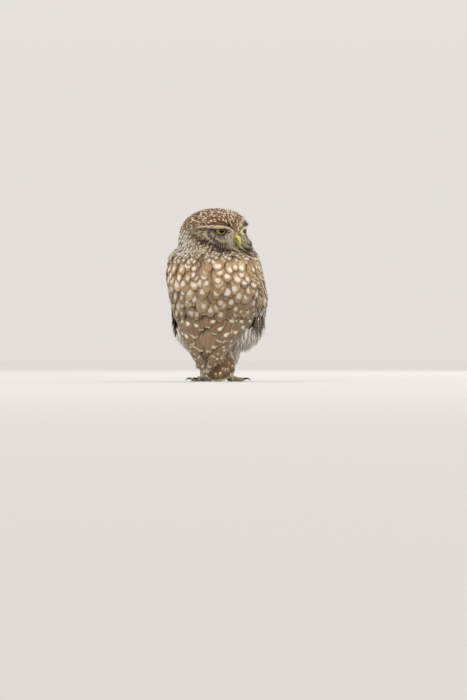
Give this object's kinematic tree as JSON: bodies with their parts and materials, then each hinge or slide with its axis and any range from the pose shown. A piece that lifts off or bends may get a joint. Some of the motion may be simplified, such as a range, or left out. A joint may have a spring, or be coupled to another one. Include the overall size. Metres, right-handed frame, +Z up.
{
  "type": "little owl",
  "caption": "Small upright owl at life size, standing with folded wings and looking back over its right shoulder.",
  "frame": {"origin": "on the floor, midway between the feet", "axes": "+Z up, -Y the way the breast faces, -X towards the bird's right side"},
  "size_m": [0.1171, 0.1004, 0.2007],
  "materials": {
    "plumage": "soft body feathers, brown with whitish spots",
    "flight_feathers": "smooth flight feathers, brown with cream bars",
    "down": "short pale down",
    "bill": "yellow-green horn",
    "eyes": "wet, yellow iris and black pupil",
    "feet": "grey-yellow scaled skin with bristles",
    "claws": "dark polished horn"
  },
  "bodies": {
    "root": {"head": "plumage", "neck": "plumage", "torso": "plumage", "bill_upper": "bill", "bill_lower": "bill", "tail": "flight_feathers", "wing_right": "flight_feathers", "wing_left": "flight_feathers", "eye_right": "eyes", "eye_left": "eyes", "thigh_right": "down", "thigh_left": "down", "shank_right": "down", "shank_left": "down", "foot_right": "feet", "foot_left": "feet", "claw_right_hind": "claws", "claw_right_inner": "claws", "claw_right_middle": "claws", "claw_right_outer": "claws", "claw_left_hind": "claws", "claw_left_inner": "claws", "claw_left_middle": "claws", "claw_left_outer": "claws"}
  },
  "joints": []
}
